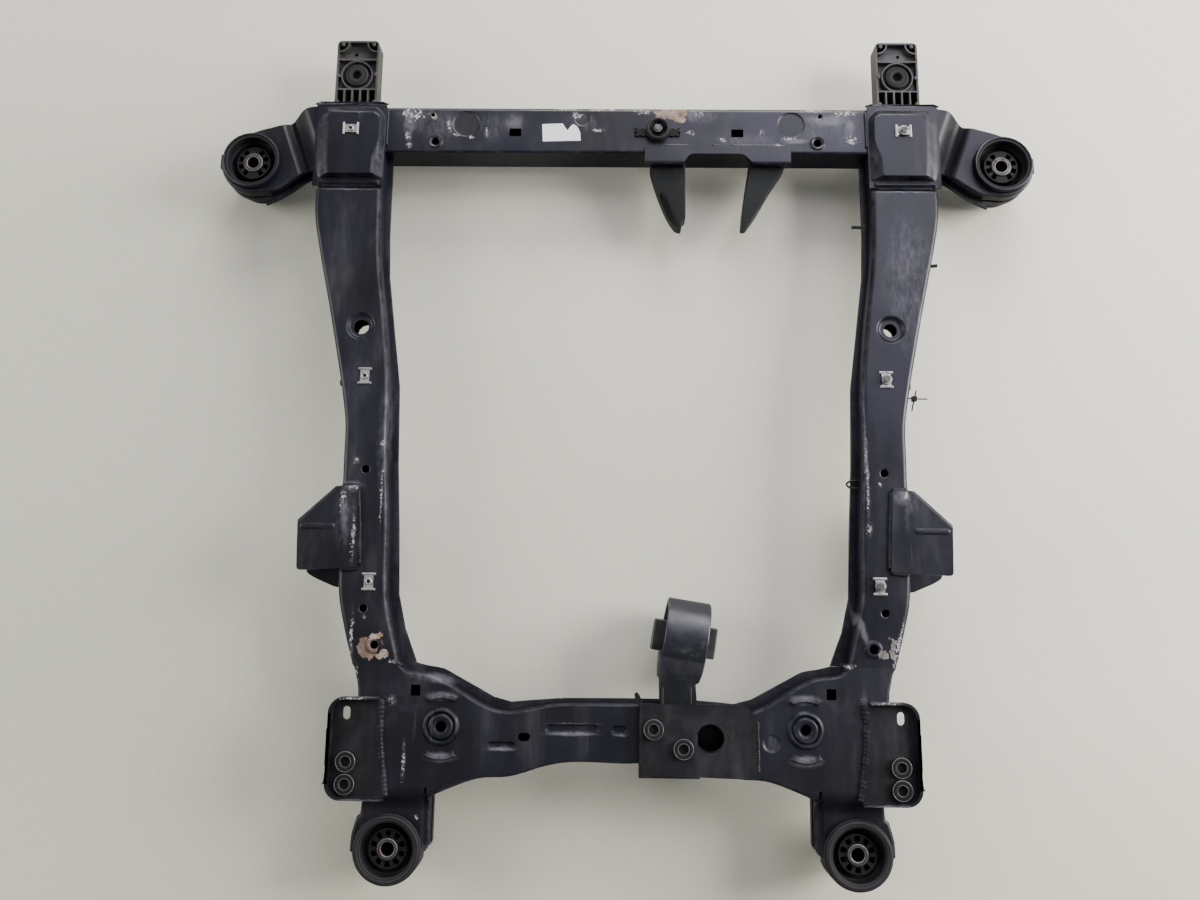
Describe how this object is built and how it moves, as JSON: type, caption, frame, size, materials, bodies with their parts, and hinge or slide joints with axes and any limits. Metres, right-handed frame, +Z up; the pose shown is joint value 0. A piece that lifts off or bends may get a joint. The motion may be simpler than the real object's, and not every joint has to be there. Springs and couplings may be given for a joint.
{
  "type": "front subframe",
  "caption": "Welded steel car subframe in worn black paint with rubber bushes, brackets, clips and a torque mount.",
  "frame": {"origin": "middle of the bounding box's lower face, level with the lower ends of the four bush sleeves", "axes": "+Y towards the front of the car, +Z up as it lies here, which is towards the road when fitted"},
  "size_m": [1.101, 1.0856, 0.1003],
  "materials": {
    "black_paint": "satin black dip paint",
    "rubber": "matt black",
    "worn_steel": "bare, dull and stained",
    "zinc_plate": "bright zinc",
    "black_casting": "black, slightly rough"
  },
  "bodies": {
    "root": {"arm_bracket_lower_left": "black_paint", "arm_bracket_lower_right": "black_paint", "arm_bracket_upper_left": "black_paint", "arm_bracket_upper_right": "black_paint", "bush_can_front_left": "black_paint", "bush_can_front_right": "black_paint", "bush_can_rear_left": "black_paint", "bush_can_rear_right": "black_paint", "bush_rubber_front_left": "rubber", "bush_rubber_front_right": "rubber", "bush_rubber_rear_left": "rubber", "bush_rubber_rear_right": "rubber", "bush_sleeve_front_left": "worn_steel", "bush_sleeve_front_right": "worn_steel", "bush_sleeve_rear_left": "worn_steel", "bush_sleeve_rear_right": "worn_steel", "centre_plate": "black_paint", "clip_front_left": "zinc_plate", "clip_front_right": "zinc_plate", "clip_middle_left": "zinc_plate", "clip_middle_right": "zinc_plate", "clip_rear_left": "zinc_plate", "clip_rear_right": "zinc_plate", "corner_saddle_left": "black_paint", "corner_saddle_right": "black_paint", "engine_bracket": "black_paint", "front_arm_lower_left": "black_paint", "front_arm_lower_right": "black_paint", "front_arm_upper_left": "black_paint", "front_arm_upper_right": "black_paint", "front_beam_lower": "black_paint", "front_beam_upper": "black_paint", "horn_left": "black_paint", "horn_right": "black_paint", "radiator_support_left": "black_casting", "radiator_support_right": "black_casting", "rail_lower_left": "black_paint", "rail_lower_right": "black_paint", "rail_upper_left": "black_paint", "rail_upper_right": "black_paint", "rear_beam_lower": "black_paint", "rear_beam_upper": "black_paint", "rear_plate_left": "black_paint", "rear_plate_right": "black_paint", "screw_front": "worn_steel", "screw_middle": "worn_steel", "screw_rear": "worn_steel", "stud_isolator": "rubber", "stud_nut": "worn_steel", "support_isolator_left": "rubber", "support_isolator_right": "rubber", "torque_core": "worn_steel", "torque_housing": "black_casting", "torque_nut_1": "black_paint", "torque_nut_2": "black_paint", "torque_rubber": "rubber", "weld_nut_left_1": "black_paint", "weld_nut_left_2": "black_paint", "weld_nut_right_1": "black_paint", "weld_nut_right_2": "black_paint"}
  },
  "joints": []
}
